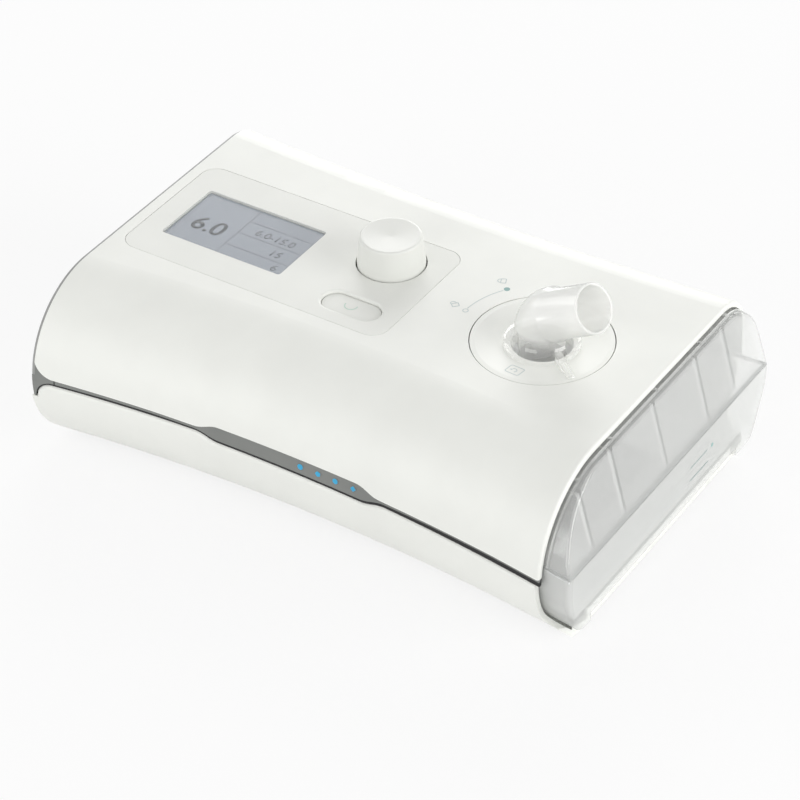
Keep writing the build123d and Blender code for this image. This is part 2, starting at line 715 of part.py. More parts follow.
# ---------------------------------------------------------------- humidifier
def bay_frame():
    wall_plate = casing_form(wall, bay_wall_x, bay_wall_x + 2.5)
    py, pz = port_place
    wall_plate -= bar_x(0, 40, py, pz, port_radius)
    leg_z = deck_z[0] + 0.8
    deck = slab(bay_wall_x + 1, tray_x - wall - 0.2, lip_y[0] + 0.5, lip_y[1] - 0.5, deck_z[0], deck_z[1], 2)
    for y in (-61.0, 53.5):
        deck += block(bay_wall_x + 2, tray_x - wall - 4, y, y + 2, floor_z, leg_z)
    hx0, hx1, hy0, hy1 = heater_box
    deck -= slab(hx0 - 0.4, hx1 + 0.4, hy0 - 0.4, hy1 + 0.4, 5, 20, 8.4)
    for x in (hx0 - 5, hx1 + 3):
        deck += block(x, x + 2, -60, 52, floor_z, leg_z)
    return wall_plate + deck


def heater_plate():
    x0, x1, y0, y1 = heater_box
    return slab(x0, x1, y0, y1, heater_z[0], heater_z[1], 8)


def heater_springs():
    """Bowed leaf springs that press the plate up against the tank."""
    top = heater_z[0]
    low = top - 4.6
    bow = make_face([
        ThreePointArc((-11, top), (0, low), (11, top)), Line((11, top), (9.8, top)),
        ThreePointArc((9.8, top), (0, low + 0.6), (-9.8, top)), Line((-9.8, top), (-11, top))])
    return [Pos(x, 0, 0) * side_cut(bow, y - 4, y + 4) for x, y in spring_places]


def face_rake(shift):
    """Half space behind the leaning face of the tank lid."""
    lean = math.atan2(rake, lid_top - seam_z)
    origin = Vector(half - 0.5 - shift, 0, seam_z)
    plane = Plane(origin, x_dir=(0, 1, 0), z_dir=(math.cos(lean), 0, math.sin(lean)))
    return extrude(plane * Rectangle(400, 400), -300)


def stepped(inset_top, step):
    """Everything under the lid's stepped roof."""
    low = block(-200, step + 0.1, -200, 200, -5, lid_low - inset_top)
    return low + block(step, 200, -200, 200, -5, lid_top - inset_top)


def tank_tub():
    gap = wall + tank_gap
    body = casing_form(gap, tank_start, half) & block(-200, 200, -200, 200, tank_low_z, seam_z)
    body -= block(-200, 200, lip_y[0] - 0.3, lip_y[1] + 0.3, 0, tub_floor_z[0])
    corners = body.edges().filter_by(lambda e: abs(e.bounding_box().min.X - half) < 0.01)
    corners = corners.filter_by(lambda e: 11 < e.center().Z < seam_z - 1 and abs(e.center().Y) > 62)
    body = fillet(corners, 2.5)
    t = gap + tank_wall
    body -= casing_form(t, tank_start + tank_wall, half - tank_wall) & block(-200, 200, -200, 200, tub_floor_z[1], 60)
    body -= tank_heat_plate()
    body -= tank_gasket()
    return body + knuckles(((30, 38), (62, 70)), -1) - hinge_bore()


def tank_heat_plate():
    x0, x1, y0, y1 = heater_box
    low_z, high_z = tub_floor_z
    step_z = (low_z + high_z) / 2
    lower = slab(x0 + 2, x1 - 2, y0 + 2, y1 - 2, low_z, step_z, 7)
    return lower + slab(x0 + 5, x1 - 5, y0 + 5, y1 - 5, step_z, high_z, 6)


def tank_gasket():
    gap = wall + tank_gap
    band = casing_form(gap + 0.6, tank_start + 0.6, half - 0.8) - casing_form(gap + 1.8, tank_start + 1.8, half - 2.0)
    return band & block(-200, 200, -200, 200, seam_z - 1.0, seam_z)


def hinge_bore():
    return bar_y(hinge_x, 20, 80, seam_z, pin_radius + 0.05)


def knuckles(spans, side):
    group = Part()
    for y0, y1 in spans:
        group += bar_y(hinge_x, y0, y1, seam_z, knuckle_radius)
        z0, z1 = sorted((seam_z, seam_z + side * knuckle_radius))
        group += block(hinge_x, tank_start + 0.5, y0, y1, z0, z1)
    return group


def lid_hinge_pin():
    return bar_y(hinge_x, 29, 71, seam_z, pin_radius)


def tank_lid():
    gap = wall + tank_gap
    body = casing_form(gap, tank_start, half) & block(-200, 200, -200, 200, seam_z, 100)
    body = body & stepped(0, lid_step) & face_rake(0)
    crown = body.edges().filter_by(lambda e: e.bounding_box().max.X > half - rake - 1.5)
    crown = crown.filter_by(lambda e: e.center().Z > seam_z + 1 and e.bounding_box().min.X > lid_step + 5)
    body = fillet(crown, crown_round)
    t = gap + tank_wall
    hollow = casing_form(t, tank_start + tank_wall, half) & block(-200, 200, -200, 200, seam_z - 2, 100)
    hollow = hollow & stepped(tank_wall, lid_step + tank_wall) & face_rake(tank_wall + 0.3)
    body -= hollow
    ribs = casing_form(t - 0.5, lid_step + 6, half) & face_rake(1.0)
    ribs -= casing_form(t + 1.6, 0, half) & face_rake(tank_wall + 2.2)
    for y in rib_places:
        body += ribs & block(100, 140, y - 0.8, y + 0.8, seam_z + 0.5, 75)
    bead = casing_form(gap - bead_rise, 100, half) - casing_form(gap + tank_wall, 90, half + 5)
    bead = bead & face_rake(0)
    body += bead & block(bead_x[0], bead_x[1], -150, 150, seam_z + 2, 90)
    for y in peg_places:
        body += bead & block(bead_x[0] - peg_length, bead_x[0], y - 0.8, y + 0.8, seam_z + 2, 90)
    dx, dy = disc_center
    body += post(dx, dy, 60, lid_low + 0.3, 13.0)
    body -= post(dx, dy, 50, 80, 10.8)
    py, pz = port_place
    body += bar_x(tank_start + 1, tank_start + 22, py, pz, 10.5)
    body -= bar_x(tank_start - 1, tank_start + 30, py, pz, 8.5)
    return body + knuckles(((38.3, 61.7),), 1) - hinge_bore()


# ---------------------------------------------------------------- writing
def bodies():
    return {
        "upper_shell": upper_shell(),
        "lower_shell": lower_shell(),
        "left_end_cap": left_end_cap(),
        "front_trim": front_trim(),
        "trim_seal": trim_seal(),
        "indicator_lights": indicator_lights(),
        "control_panel": control_panel(),
        "display_window": display_window(),
        "display_module": display_module(),
        "feet": feet(),
        "case_screws": case_screws(),
        "knob": knob(),
        "encoder_shaft": encoder_shaft(),
        "encoder_rotor": encoder_rotor(),
        "encoder_body": encoder_body(),
        "confirm_button": confirm_button(),
        "button_switch": button_switch(),
        "main_board": main_board(),
        "board_chips": board_chips(),
        "pressure_sensor": pressure_sensor(),
        "io_board": io_board(),
        "power_socket": power_socket(),
        "card_socket": card_socket(),
        "memory_card": memory_card(),
        "filter_cover": filter_cover(),
        "air_filter": air_filter(),
        "intake_muffler": intake_muffler(),
        "sound_foam": sound_foam(),
        "blower_housing": blower_housing(),
        "blower_cover": blower_cover(),
        "impeller": impeller(),
        "motor": motor(),
        "motor_shaft": motor_shaft(),
        "blower_mounts": blower_mounts(),
        "air_duct": air_duct(),
        "port_seal": port_seal(),
        "outlet_disc": outlet_disc(),
        "disc_clip": disc_clip(),
        "outlet_elbow": outlet_elbow(),
        "elbow_seal": elbow_seal(),
        "bay_frame": bay_frame(),
        "heater_plate": heater_plate(),
        "heater_springs": heater_springs(),
        "tank_tub": tank_tub(),
        "tank_lid": tank_lid(),
        "tank_gasket": tank_gasket(),
        "tank_heat_plate": tank_heat_plate(),
        "lid_hinge_pin": lid_hinge_pin(),
    }


for name, made in bodies().items():
    solids = []
    for piece in made if isinstance(made, list) else [made]:
        solids.extend(piece.solids())
    export_step(Compound(children=solids) if len(solids) > 1 else solids[0], f"parts/{name}.step")
    print(name, len(solids))
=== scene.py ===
import bpy
import math
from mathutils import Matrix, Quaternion, Vector


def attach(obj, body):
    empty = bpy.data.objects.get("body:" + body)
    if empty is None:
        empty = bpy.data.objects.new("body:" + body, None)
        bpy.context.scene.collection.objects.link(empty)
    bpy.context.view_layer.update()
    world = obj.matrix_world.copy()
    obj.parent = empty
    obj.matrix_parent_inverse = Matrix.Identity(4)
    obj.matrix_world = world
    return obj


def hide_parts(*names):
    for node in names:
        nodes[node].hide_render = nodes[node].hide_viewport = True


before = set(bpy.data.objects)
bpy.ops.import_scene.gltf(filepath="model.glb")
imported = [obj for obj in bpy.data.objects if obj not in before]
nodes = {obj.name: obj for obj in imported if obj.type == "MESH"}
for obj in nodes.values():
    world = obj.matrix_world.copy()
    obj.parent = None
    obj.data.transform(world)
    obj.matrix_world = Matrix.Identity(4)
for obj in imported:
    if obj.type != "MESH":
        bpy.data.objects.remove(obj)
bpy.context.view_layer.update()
mm = 0.001
touching = 0.01  # in mm: closer than this counts as the same place
print("frame loaded:", len(nodes), "pieces")

# where the camera stands, which way it looks and how long its lens is
view = {
    "place": (0.600754, -0.894822, 0.872589),
    "azimuth": 33.915,
    "elevation": 38.238,
    "roll": -1.485,
    "lens": 139.03,
}


def placeCamera(v):
    turn, rise = math.radians(v["azimuth"]), math.radians(v["elevation"])
    back = Vector((math.sin(turn) * math.cos(rise), -math.cos(turn) * math.cos(rise), math.sin(rise)))
    data = bpy.data.cameras.new("camera")
    data.lens = v["lens"]
    data.sensor_width = 36
    data.clip_start = 0.05
    camera = bpy.data.objects.new("camera", data)
    bpy.context.scene.collection.objects.link(camera)
    camera.location = v["place"]
    camera.rotation_mode = "QUATERNION"
    camera.rotation_quaternion = Quaternion(back, math.radians(v["roll"])) @ back.to_track_quat("Z", "Y")
    bpy.context.scene.camera = camera


placeCamera(view)
bpy.context.scene.view_settings.view_transform = "Standard"
print("camera placed")


# materials: colours are sRGB hex, sizes of grain and pattern are in millimetres
def hexToLinear(text, alpha=1.0):
    parts = [int(text[i:i + 2], 16) / 255 for i in (1, 3, 5)]
    return [c / 12.92 if c <= 0.04045 else ((c + 0.055) / 1.055) ** 2.4 for c in parts] + [alpha]


# an input that is given as a socket is linked, and any other value is set
def addNode(material, kind, settings=None, inputs=None):
    node = material.node_tree.nodes.new("ShaderNode" + kind)
    for name, value in (settings or {}).items():
        setattr(node, name, value)
    for name, value in (inputs or {}).items():
        if isinstance(value, bpy.types.NodeSocket):
            material.node_tree.links.new(value, node.inputs[name])
        else:
            node.inputs[name].default_value = value
    return node


def newMaterial(name):
    material = bpy.data.materials.new(name)
    material.use_nodes = True
    material.node_tree.nodes.clear()
    return material


def perMetre(sizeMm):
    return 1 / (sizeMm * mm)


# how the moulded plastics vary over their surface: sizes in mm
skin = {
    "toneMm": 26,               # patches of slightly different tone
    "toneDetail": 3,
    "toneEdges": (0.3, 0.7),    # where the noise turns from the low to the high tone
    "sheenMm": 18,              # patches of slightly different sheen
    "sheenSwing": 0.03,
    "detail": 2,
}


def shadeTones(material, coordinates, low, high, sizeMm):
    patches = addNode(material, "TexNoise", {}, {"Vector": coordinates, "Scale": perMetre(sizeMm),
                                                 "Detail": skin["toneDetail"]})
    tones = addNode(material, "ValToRGB", {}, {"Fac": patches.outputs["Fac"]})
    for element, edge, colour in zip(tones.color_ramp.elements, skin["toneEdges"], (low, high)):
        element.position = edge
        element.color = hexToLinear(colour)
    return tones.outputs["Color"]


def mouldedPlastic(name, low, high, roughness, grainMm, grainDepthMm, ior=1.53):
    material = newMaterial(name)
    place = addNode(material, "TexCoord").outputs["Object"]
    grain = addNode(material, "TexNoise", {}, {"Vector": place, "Scale": perMetre(grainMm),
                                               "Detail": skin["detail"]})
    relief = addNode(material, "Bump", {}, {"Height": grain.outputs["Fac"], "Distance": grainDepthMm * mm,
                                            "Strength": 1.0})
    flow = addNode(material, "TexNoise", {}, {"Vector": place, "Scale": perMetre(skin["sheenMm"]),
                                              "Detail": skin["detail"]})
    sheen = addNode(material, "MapRange", {}, {"Value": flow.outputs["Fac"],
                                               "To Min": roughness - skin["sheenSwing"],
                                               "To Max": roughness + skin["sheenSwing"]})
    shader = addNode(material, "BsdfPrincipled", {}, {
        "Base Color": shadeTones(material, place, low, high, skin["toneMm"]),
        "Roughness": sheen.outputs["Result"], "IOR": ior, "Normal": relief.outputs["Normal"]})
    addNode(material, "OutputMaterial", {}, {"Surface": shader.outputs["BSDF"]})
    return material


# how every clear wall behaves: a faint unevenness, and how late haze and mirror come as it turns edge on
clearWall = {
    "flowMm": 9,
    "flowDetail": 1,
    "flowDepthMm": 0.04,
    "flowStrength": 0.4,
    "hazePower": 3.0,
    "mirrorPower": 5.0,
}


# a clear wall lets nearly all light through face on, mirrors a little, and clouds over edge on
# colours, cover and shine are pairs, face on and edge on; the edge on colour is painted shade that greys the
# wall and its reflection towards its outline
# cloud is two heights in mm and the cover at the second
def clearPlastic(name, colours, cover, roughness, shine=(0.05, 0.6), cloud=None):
    w = clearWall
    material = newMaterial(name)
    place = addNode(material, "TexCoord").outputs["Object"]
    flow = addNode(material, "TexNoise", {}, {"Vector": place, "Scale": perMetre(w["flowMm"]),
                                              "Detail": w["flowDetail"]})
    relief = addNode(material, "Bump", {}, {"Height": flow.outputs["Fac"], "Distance": w["flowDepthMm"] * mm,
                                            "Strength": w["flowStrength"]}).outputs["Normal"]
    slant = addNode(material, "LayerWeight", {}, {"Blend": 0.5, "Normal": relief}).outputs["Facing"]
    bend = addNode(material, "Math", {"operation": "POWER"}, {0: slant, 1: w["hazePower"]}).outputs[0]
    share = addNode(material, "MapRange", {}, {"Value": bend, "To Min": cover[0],
                                               "To Max": cover[1]}).outputs["Result"]
    if cloud:
        low, high, most = cloud
        height = addNode(material, "SeparateXYZ", {}, {"Vector": place}).outputs["Z"]
        rise = addNode(material, "MapRange", {}, {
            "Value": height, "From Min": low * mm, "From Max": high * mm,
            "To Min": 0.0, "To Max": most}).outputs["Result"]
        share = addNode(material, "Math", {"operation": "MAXIMUM"}, {0: share, 1: rise}).outputs[0]
    # haze and reflection turn grey as the wall turns edge on: painted shade along outlines
    edgeShadeTint = addNode(material, "ValToRGB", {}, {"Fac": bend})
    for element, colour in zip(edgeShadeTint.color_ramp.elements, colours):
        element.color = hexToLinear(colour)
    tone = edgeShadeTint.outputs["Color"]
    haze = addNode(material, "BsdfDiffuse", {}, {"Color": tone, "Normal": relief})
    clear = addNode(material, "BsdfTransparent")
    wall = addNode(material, "MixShader", {}, {"Fac": share, 1: clear.outputs[0], 2: haze.outputs[0]})
    steep = addNode(material, "Math", {"operation": "POWER"}, {0: slant, 1: w["mirrorPower"]}).outputs[0]
    mirror = addNode(material, "MapRange", {}, {"Value": steep, "To Min": shine[0],
                                                "To Max": shine[1]}).outputs["Result"]
    gloss = addNode(material, "BsdfGlossy", {}, {"Color": tone, "Roughness": roughness, "Normal": relief})
    both = addNode(material, "MixShader", {}, {"Fac": mirror, 1: wall.outputs[0], 2: gloss.outputs[0]})
    addNode(material, "OutputMaterial", {}, {"Surface": both.outputs[0]})
    return material


# metal is drawn out along X, so its lines are long that way: sizes in mm
metal = {
    "stretch": (0.04, 1, 1),
    "detail": 2,
    "lineDepthMm": 0.01,
    "sheenSwing": 0.06,
    "tonesPerLine": 3,          # patches of tone are this many lines wide
}


def metalSheet(name, low, high, roughness, lineMm):
    material = newMaterial(name)
    place = addNode(material, "TexCoord").outputs["Object"]
    drawn = addNode(material, "Mapping", {}, {"Vector": place, "Scale": metal["stretch"]}).outputs["Vector"]
    lines = addNode(material, "TexNoise", {}, {"Vector": drawn, "Scale": perMetre(lineMm),
                                               "Detail": metal["detail"]}).outputs["Fac"]
    relief = addNode(material, "Bump", {}, {"Height": lines, "Distance": metal["lineDepthMm"] * mm,
                                            "Strength": 1.0})
    rough = addNode(material, "MapRange", {}, {"Value": lines, "To Min": roughness - metal["sheenSwing"],
                                               "To Max": roughness + metal["sheenSwing"]})
    shader = addNode(material, "BsdfPrincipled", {}, {
        "Base Color": shadeTones(material, drawn, low, high, lineMm * metal["tonesPerLine"]),
        "Roughness": rough.outputs["Result"], "Metallic": 1.0, "Normal": relief.outputs["Normal"]})
    addNode(material, "OutputMaterial", {}, {"Surface": shader.outputs["BSDF"]})
    return material


# injection moulded ABS with a fine spark-eroded skin: soft, broad highlights
satinWhiteAbs = mouldedPlastic("satin white moulded ABS", "#E6E7E2", "#EAEBE6", 0.42, 0.5, 0.006)
# the same plastic from a duller tool, so the insert panel shines less than the shell round it
panelWhiteAbs = mouldedPlastic("fine satin white ABS insert", "#E2E3DE", "#E6E7E2", 0.5, 0.4, 0.004)
# the white ABS made a shade greyer all over as painted shade, so the knob reads darker than the shell round
# it; smoother, with a brighter glint down its side
shadedKnobAbs = mouldedPlastic("greyed white knob ABS for painted shade", "#DCDDD8", "#E0E1DC", 0.3, 0.5, 0.003)
# the same plastic moulded in a flat mid grey
capGreyAbs = mouldedPlastic("satin grey moulded ABS", "#8F908E", "#979896", 0.38, 0.5, 0.006)
# polished strip with almost no grain: it mirrors the softbox in a long soft streak
smokedStrip = mouldedPlastic("smoked gloss acrylic strip", "#777976", "#7F817E", 0.22, 1.4, 0.002, 1.49)
# unpainted white nylon, duller and a little uneven
linerNylon = mouldedPlastic("white moulded nylon liner", "#E2E4E3", "#E8EAE9", 0.5, 0.6, 0.01)
# glass fibre leaves a dry, slightly mottled dark skin
darkNylon = mouldedPlastic("glass filled grey nylon", "#4A4C50", "#53555A", 0.55, 0.5, 0.02)
# black moulding for the electrical parts, flat and even
blackPhenolic = mouldedPlastic("black moulded phenolic", "#151516", "#1C1C1E", 0.5, 0.4, 0.01)
# cloudy soft rubber with a dull face
siliconeRubber = mouldedPlastic("translucent silicone rubber", "#C9CBCB", "#D2D4D4", 0.6, 1.0, 0.01, 1.41)
# matt dark rubber that takes almost no highlight
footRubber = mouldedPlastic("moulded foot rubber", "#36373A", "#3F4043", 0.8, 0.4, 0.02, 1.5)
# lacquered board with the weave just showing through
boardGreen = mouldedPlastic("solder masked fibreglass board", "#1E4A2C", "#245434", 0.3, 1.5, 0.02, 1.5)
# unlit cells behind a polariser: flat cool grey
displayGlass = mouldedPlastic("grey reflective liquid crystal", "#8D949F", "#939AA5", 0.3, 0.35, 0.004, 1.5)
# coarse open cells that swallow light
openFoam = mouldedPlastic("open cell polyurethane foam", "#4A4B4E", "#5A5B5E", 0.95, 0.9, 0.35, 1.5)
# smoked lens over each light, like the strip but a shade deeper
lightLens = mouldedPlastic("smoked light lens", "#767875", "#7D7F7C", 0.2, 1.4, 0.002, 1.49)
# water clear walls that go cloudy towards their edges, greyed there by painted shade
# below the seam at 43 mm the tub is cloudier than the lid above it
clearCarbonate = clearPlastic("clear moulded polycarbonate", ("#FAFBF9", "#B4B6B3"), (0.23, 0.9), 0.08,
                              cloud=(44.0, 42.5, 0.33))
# cloudy white in the outlet's tube, above a clear foot
thickCarbonate = clearPlastic("thick clear polycarbonate", ("#FDFDFB", "#DCDEDB"), (0.08, 0.8), 0.06,
                              shine=(0.08, 0.6), cloud=(81, 89, 0.4))
# flat black piece filling the gap under the trim: painted shadow for the dark shadow gap there, showing only
# as a line
shadowGapBlack = mouldedPlastic("black painted shadow in the trim gap", "#101011", "#161617", 0.7, 0.4, 0.01, 1.5)
# thin flat window, hardly there except for its sheen
clearAcrylic = clearPlastic("clear acrylic window", ("#F0F3F3", "#D6D9D9"), (0.04, 0.5), 0.05,
                            shine=(0.0, 0.3))
# rolled steel with fine lines along its length
brushedSteel = metalSheet("bright rolled steel", "#A8A9AB", "#B8B9BB", 0.32, 0.3)
# etched and anodised plate, duller and greyer than steel
anodisedPlate = metalSheet("satin anodised aluminium plate", "#A9ACAF", "#B4B7BA", 0.42, 0.4)

finishes = {
    satinWhiteAbs: ["upper_shell", "lower_shell", "filter_cover", "outlet_disc"],
    shadedKnobAbs: ["knob"],
    panelWhiteAbs: ["control_panel", "confirm_button"],
    capGreyAbs: ["left_end_cap"],
    smokedStrip: ["front_trim"],
    lightLens: ["indicator_lights"],
    clearAcrylic: ["display_window"],
    displayGlass: ["display_module"],
    clearCarbonate: ["tank_tub", "tank_lid"],
    thickCarbonate: ["outlet_elbow"],
    # trim_seal is flat black as painted shadow of the gap under the trim
    shadowGapBlack: ["trim_seal"],
    linerNylon: ["bay_frame", "disc_clip", "intake_muffler"],
    siliconeRubber: ["air_duct", "port_seal", "elbow_seal", "tank_gasket", "blower_mounts"],
    footRubber: ["feet"],
    brushedSteel: ["case_screws", "encoder_shaft", "motor", "motor_shaft", "heater_springs", "lid_hinge_pin",
                   "card_socket", "tank_heat_plate"],
    anodisedPlate: ["heater_plate"],
    boardGreen: ["main_board", "io_board"],
    blackPhenolic: ["board_chips", "pressure_sensor", "power_socket", "button_switch", "encoder_rotor",
                    "encoder_body", "memory_card"],
    darkNylon: ["blower_housing", "blower_cover", "impeller"],
    openFoam: ["air_filter", "sound_foam"],
}


def giveFinish(piece, material):
    piece.data.materials.clear()
    piece.data.materials.append(material)


for material, names in finishes.items():
    for name in names:
        giveFinish(nodes[name], material)
print("materials given to", sum(len(names) for names in finishes.values()), "pieces")


# modelling helpers: a finished piece keeps its place in its mesh, with its object at the origin
def startPiece(operator, **settings):
    bpy.ops.object.select_all(action="DESELECT")
    operator(**settings)
    return bpy.context.object


def pickPiece(piece):
    bpy.ops.object.select_all(action="DESELECT")
    piece.select_set(True)
    bpy.context.view_layer.objects.active = piece


def editPiece(piece):
    pickPiece(piece)
    bpy.ops.object.mode_set(mode="EDIT")


def applyPlace(piece):
    pickPiece(piece)
    bpy.ops.object.transform_apply(location=True, rotation=True, scale=True)


def joinPieces(pieces, name):
    bpy.ops.object.select_all(action="DESELECT")
    for piece in pieces:
        piece.select_set(True)
    bpy.context.view_layer.objects.active = pieces[0]
    if len(pieces) > 1:
        bpy.ops.object.join()
    pieces[0].name = pieces[0].data.name = name
    return pieces[0]


# printed marks are drawn as flat sheets above their surface, then laid on it and given the ink's thickness
printed = {
    "capHeight": 0.69,          # height of a figure as a share of the font's size
    "barCorner": 0.3,           # as a share of the bar's width
    "barSegments": 3,
    "frameSegments": 4,
    "arcStep": 5,               # degrees in one step of a ribbon
    "arcLeast": 8,              # and the least number of steps
    "reach": 10,                # a sheet lies less than this above its surface, in mm
}


def numberSheet(text, height, center, lean=0.0, weight=0.0):
    piece = startPiece(bpy.ops.object.text_add, location=(0, 0, 0))
    piece.data.body = text
    piece.data.size = height / printed["capHeight"] * mm
    piece.data.align_x, piece.data.align_y = "CENTER", "CENTER"
    piece.data.shear = lean
    piece.data.offset = weight * mm
    bpy.ops.object.convert(target="MESH")
    piece = bpy.context.object
    piece.location = Vector(center) * mm
    applyPlace(piece)
    return piece


# a rectangle in edit mode with all of it selected
def openSheet(center, size, turn):
    piece = startPiece(bpy.ops.mesh.primitive_plane_add, size=1.0, location=Vector(center) * mm,
                       rotation=(0, 0, math.radians(turn)))
    piece.scale = (size[0] * mm, size[1] * mm, 1)
    applyPlace(piece)
    editPiece(piece)
    bpy.ops.mesh.select_all(action="SELECT")
    return piece


# flat bar with eased corners
def barSheet(center, size):
    piece = openSheet(center, size, 0.0)
    bpy.ops.mesh.bevel(offset=min(size) * printed["barCorner"] * mm, segments=printed["barSegments"],
                       affect="VERTICES")
    bpy.ops.object.mode_set(mode="OBJECT")
    return piece


# outline of a rounded rectangle
def frameSheet(center, size, corner, line, turn=0.0):
    piece = openSheet(center, size, turn)
    bpy.ops.mesh.bevel(offset=corner * mm, segments=printed["frameSegments"], affect="VERTICES")
    bpy.ops.mesh.select_all(action="SELECT")
    bpy.ops.mesh.inset(thickness=line * mm)
    bpy.ops.mesh.delete(type="FACE")
    bpy.ops.object.mode_set(mode="OBJECT")
    return piece


# ribbon along an arc, from start degrees through sweep degrees: one edge of a small square is spun
def arcSheet(center, radius, line, start, sweep):
    pivot = Vector(center) * mm
    piece = startPiece(bpy.ops.mesh.primitive_plane_add, size=line * mm,
                       location=(Vector(center) + Vector((radius + line / 2, 0, 0))) * mm)
    applyPlace(piece)
    middle = sum(v.co.y for v in piece.data.vertices) / len(piece.data.vertices)
    editPiece(piece)
    bpy.ops.mesh.select_all(action="DESELECT")
    bpy.ops.object.mode_set(mode="OBJECT")
    for vertex in piece.data.vertices:
        vertex.select = vertex.co.y > middle
    bpy.ops.object.mode_set(mode="EDIT")
    bpy.ops.mesh.delete(type="VERT")
    bpy.ops.mesh.select_all(action="SELECT")
    bpy.ops.transform.translate(value=(-line / 2 * mm, line / 2 * mm, 0))
    bpy.ops.transform.rotate(value=-math.radians(start), orient_axis="Z", center_override=pivot)
    steps = max(printed["arcLeast"], int(abs(sweep) / printed["arcStep"]))
    bpy.ops.mesh.spin(steps=steps, angle=-math.radians(sweep), center=pivot, axis=(0, 0, 1))
    bpy.ops.object.mode_set(mode="OBJECT")
    return piece


# flat disc or polygon, or a ring where it has a hole of some radius
def dotSheet(center, radius, points=24, turn=0.0, hole=0.0):
    piece = startPiece(bpy.ops.mesh.primitive_circle_add, vertices=points, radius=radius * mm,
                       fill_type="NGON", location=Vector(center) * mm, rotation=(0, 0, math.radians(turn)))
    applyPlace(piece)
    if hole:
        editPiece(piece)
        bpy.ops.mesh.select_all(action="SELECT")
        bpy.ops.mesh.inset(thickness=(radius - hole) * mm)
        bpy.ops.mesh.delete(type="FACE")
        bpy.ops.object.mode_set(mode="OBJECT")
    return piece


# drops a flat sheet onto a CAD surface along one axis and gives it the ink's thickness
def layOn(piece, target, axis, lift, ink):
    pickPiece(piece)
    if target:
        drop = piece.modifiers.new("drop", "SHRINKWRAP")
        drop.target = nodes[target]
        drop.wrap_method = "PROJECT"
        drop.use_project_x, drop.use_project_y, drop.use_project_z = (axis == a for a in "XYZ")
        drop.use_negative_direction = drop.use_positive_direction = True
        drop.project_limit = printed["reach"] * mm
        drop.offset = lift * mm
        bpy.ops.object.modifier_apply(modifier="drop")
    body = piece.modifiers.new("ink", "SOLIDIFY")
    body.thickness = ink * mm
    body.offset = 1.0
    bpy.ops.object.modifier_apply(modifier="ink")
    return piece


def finishMark(pieces, name, material, body, target=None, axis="Z", lift=0.02, ink=0.04):
    piece = joinPieces([layOn(p, target, axis, lift, ink) for p in pieces], name)
    giveFinish(piece, material)
    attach(piece, body)


# clear outlet: foot, bell, upright, bend, cone and tube in one skin that turns inside at the mouth, and a fin
outlet = {
    "center": (68.6, 6.1),
    # radius and height of each ring, from the bell down and inside
    "foot": [(12.4, 82.8), (13.3, 81.6), (14.4, 80.9), (15.6, 80.5), (16.5, 80.4), (16.8, 80.1),
             (16.8, 78.6), (16.5, 78.5), (13.2, 78.5), (13.2, 72.5), (10.1, 72.5)],
    "upright": (12.0, 84.4),    # radius and height where the outer skin starts
    "bore": 10.1,
    "axisZ": 92.5,              # height where the upright meets the slanted tube
    "bendRadius": 12.4,
    "rise": 31.0,
    "yaw": -6.0,
    "cone": (8.5, 10.5),        # along the slanted tube, from where the upright's axis meets it
    "mouth": (11.0, 9.8, 31.0), # outer and inner radius, and how far along the tube it ends
    "lip": 0.3,
    "points": 72,               # round one ring
    "bendSteps": 16,
    "smoothAngle": 35,
    # one fin that slopes from its inner height down to its outer one
    "fin": {"turn": -35.0, "from": 15.8, "to": 29.8, "low": 79.7, "inner": 84.8, "outer": 81.0,
            "thick": 3.0, "edge": 0.5, "edgeSteps": 3},
}


# draws the selected ring on to the next one
def nextRing(move, ratio=1.0, center=(0, 0, 0)):
    bpy.ops.mesh.extrude_region_move(TRANSFORM_OT_translate={"value": Vector(move) * mm})
    if ratio != 1.0:
        bpy.ops.transform.resize(value=(ratio, ratio, ratio), center_override=Vector(center) * mm)


# from a selected upright ring round the bend and along to the mouth
def bendOver(o, startZ, radius, mouthRadius):
    turn, yaw = math.radians(90 - o["rise"]), math.radians(o["yaw"])
    ahead = Vector((math.cos(yaw), math.sin(yaw), 0))
    way = ahead * math.sin(turn) + Vector((0, 0, math.cos(turn)))
    crossing = Vector((*o["center"], o["axisZ"]))
    tangent = o["bendRadius"] * math.tan(turn / 2)
    if o["axisZ"] - tangent > startZ:
        nextRing((0, 0, o["axisZ"] - tangent - startZ))
    pivot = crossing - Vector((0, 0, tangent)) + ahead * o["bendRadius"]
    bpy.ops.mesh.spin(steps=o["bendSteps"], angle=-turn, center=pivot * mm, axis=(-ahead.y, ahead.x, 0))
    near, far = o["cone"]
    nextRing(way * (near - tangent))
    nextRing(way * (far - near), mouthRadius / radius, crossing + way * far)
    nextRing(way * (o["mouth"][2] - o["lip"] - far))
    rim = mouthRadius + (o["lip"] if mouthRadius < o["mouth"][0] else -o["lip"])
    nextRing(way * o["lip"], rim / mouthRadius, crossing + way * o["mouth"][2])


# in edit mode, selects just the edges whose two ends, in mm, are both wanted
def selectEdges(piece, wanted):
    bpy.ops.mesh.select_all(action="DESELECT")
    bpy.ops.mesh.select_mode(type="EDGE")
    bpy.ops.object.mode_set(mode="OBJECT")
    for e in piece.data.edges:
        e.select = all(wanted(piece.data.vertices[i].co / mm) for i in e.vertices)
    bpy.ops.object.mode_set(mode="EDIT")


